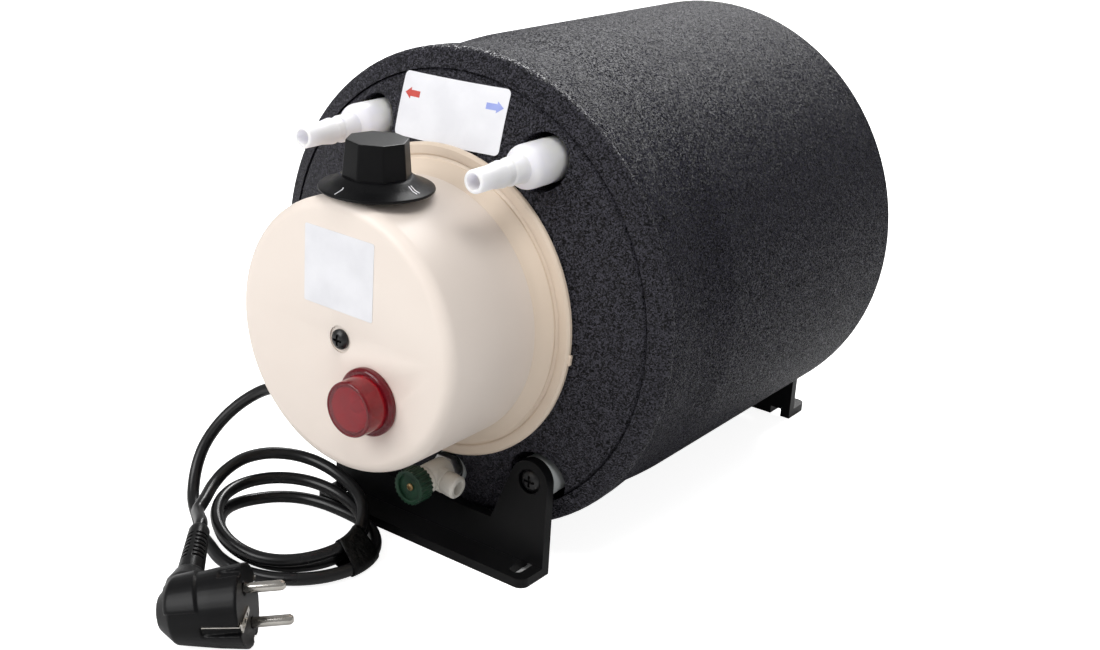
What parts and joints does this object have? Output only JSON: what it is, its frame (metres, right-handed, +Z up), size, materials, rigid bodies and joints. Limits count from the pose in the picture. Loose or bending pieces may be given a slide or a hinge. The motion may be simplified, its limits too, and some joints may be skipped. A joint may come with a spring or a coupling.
{
  "type": "caravan water heater",
  "caption": "Electric water heater for a caravan: foam-wrapped tank on moulded feet, round housing with thermostat knob and pilot lamp, hose nozzles, drain tap and mains lead with plug.",
  "frame": {"origin": "on the floor under the middle of the heater, without its mains lead", "axes": "+Z up, +Y along the tank towards its back, so the thermostat housing faces -Y; +X to the right seen from the front"},
  "size_m": [0.245, 0.4462, 0.2505],
  "materials": {
    "foam": "matt foam skin",
    "tank_plastic": "matt",
    "nozzle_plastic": "satin, slightly translucent",
    "black_plastic": "satin",
    "black_steel": "satin",
    "cream_plastic": "gloss",
    "steel": "satin",
    "seal_rubber": "matt",
    "copper": "satin",
    "beige_plastic": "matt",
    "red_lens": "gloss, translucent",
    "bulb_glass": "clear",
    "ivory_plastic": "satin",
    "brass": "satin",
    "green_plastic": "satin",
    "cord_rubber": "satin",
    "tape": "gloss",
    "nickel": "polished"
  },
  "bodies": {
    "heater": {"insulation_sleeve": "foam", "front_insulation": "foam", "rear_insulation": "foam", "tank": "tank_plastic", "hot_nozzle": "nozzle_plastic", "cold_nozzle": "nozzle_plastic", "hot_tube": "nozzle_plastic", "cold_tube": "nozzle_plastic", "front_bracket": "black_plastic", "rear_bracket": "black_plastic", "plug_body": "black_plastic", "plug_relief": "black_plastic", "cable_gland": "black_plastic", "bracket_screws": "black_steel", "cover_screw": "black_steel", "housing_base": "cream_plastic", "cover": "cream_plastic", "cover_pillar": "steel", "heater_plate": "steel", "flange_bolts": "steel", "heating_element": "steel", "thermowell": "steel", "thermostat_bracket": "steel", "thermostat_nut": "steel", "drain_nut": "steel", "nozzle_seals": "seal_rubber", "heater_gasket": "seal_rubber", "drain_seal": "seal_rubber", "sensor_bulb": "copper", "thermostat_body": "beige_plastic", "safety_cutout": "beige_plastic", "terminal_block": "beige_plastic", "lamp_body": "beige_plastic", "lamp_nut": "beige_plastic", "lamp_lens": "red_lens", "neon_bulb": "bulb_glass", "drain_body": "ivory_plastic", "drain_bonnet": "ivory_plastic", "cord_lead": "cord_rubber", "cord_coil": "cord_rubber", "cord_tail": "cord_rubber", "coil_tie": "tape", "plug_pins": "nickel", "earth_clips": "nickel"},
    "knob": {"knob": "black_plastic", "thermostat_shaft": "steel"},
    "drain_plug": {"drain_plug": "seal_rubber"},
    "drain_wheel": {"drain_wheel": "green_plastic", "drain_spindle": "brass", "drain_wheel_screw": "brass"}
  },
  "joints": [
    {"name": "knob_turn", "type": "hinge", "parent": "heater", "child": "knob", "pos_m": [0, -0.14577, 0.2], "axis": [0, 0, 1], "range_deg": [-87, 17]},
    {"name": "drain_lift", "type": "slide", "parent": "heater", "child": "drain_plug", "axis": [0, -1, 0], "range_m": [0, 0.003]},
    {"name": "drain_turn", "type": "hinge", "parent": "drain_plug", "child": "drain_wheel", "pos_m": [0.007, -0.11823, 0.039], "axis": [0, -1, 0], "range_deg": [0, 720]}
  ],
  "couplings": [
    {"joint": "drain_turn", "follows": "drain_lift", "rad_per_m": 4188.8}
  ]
}
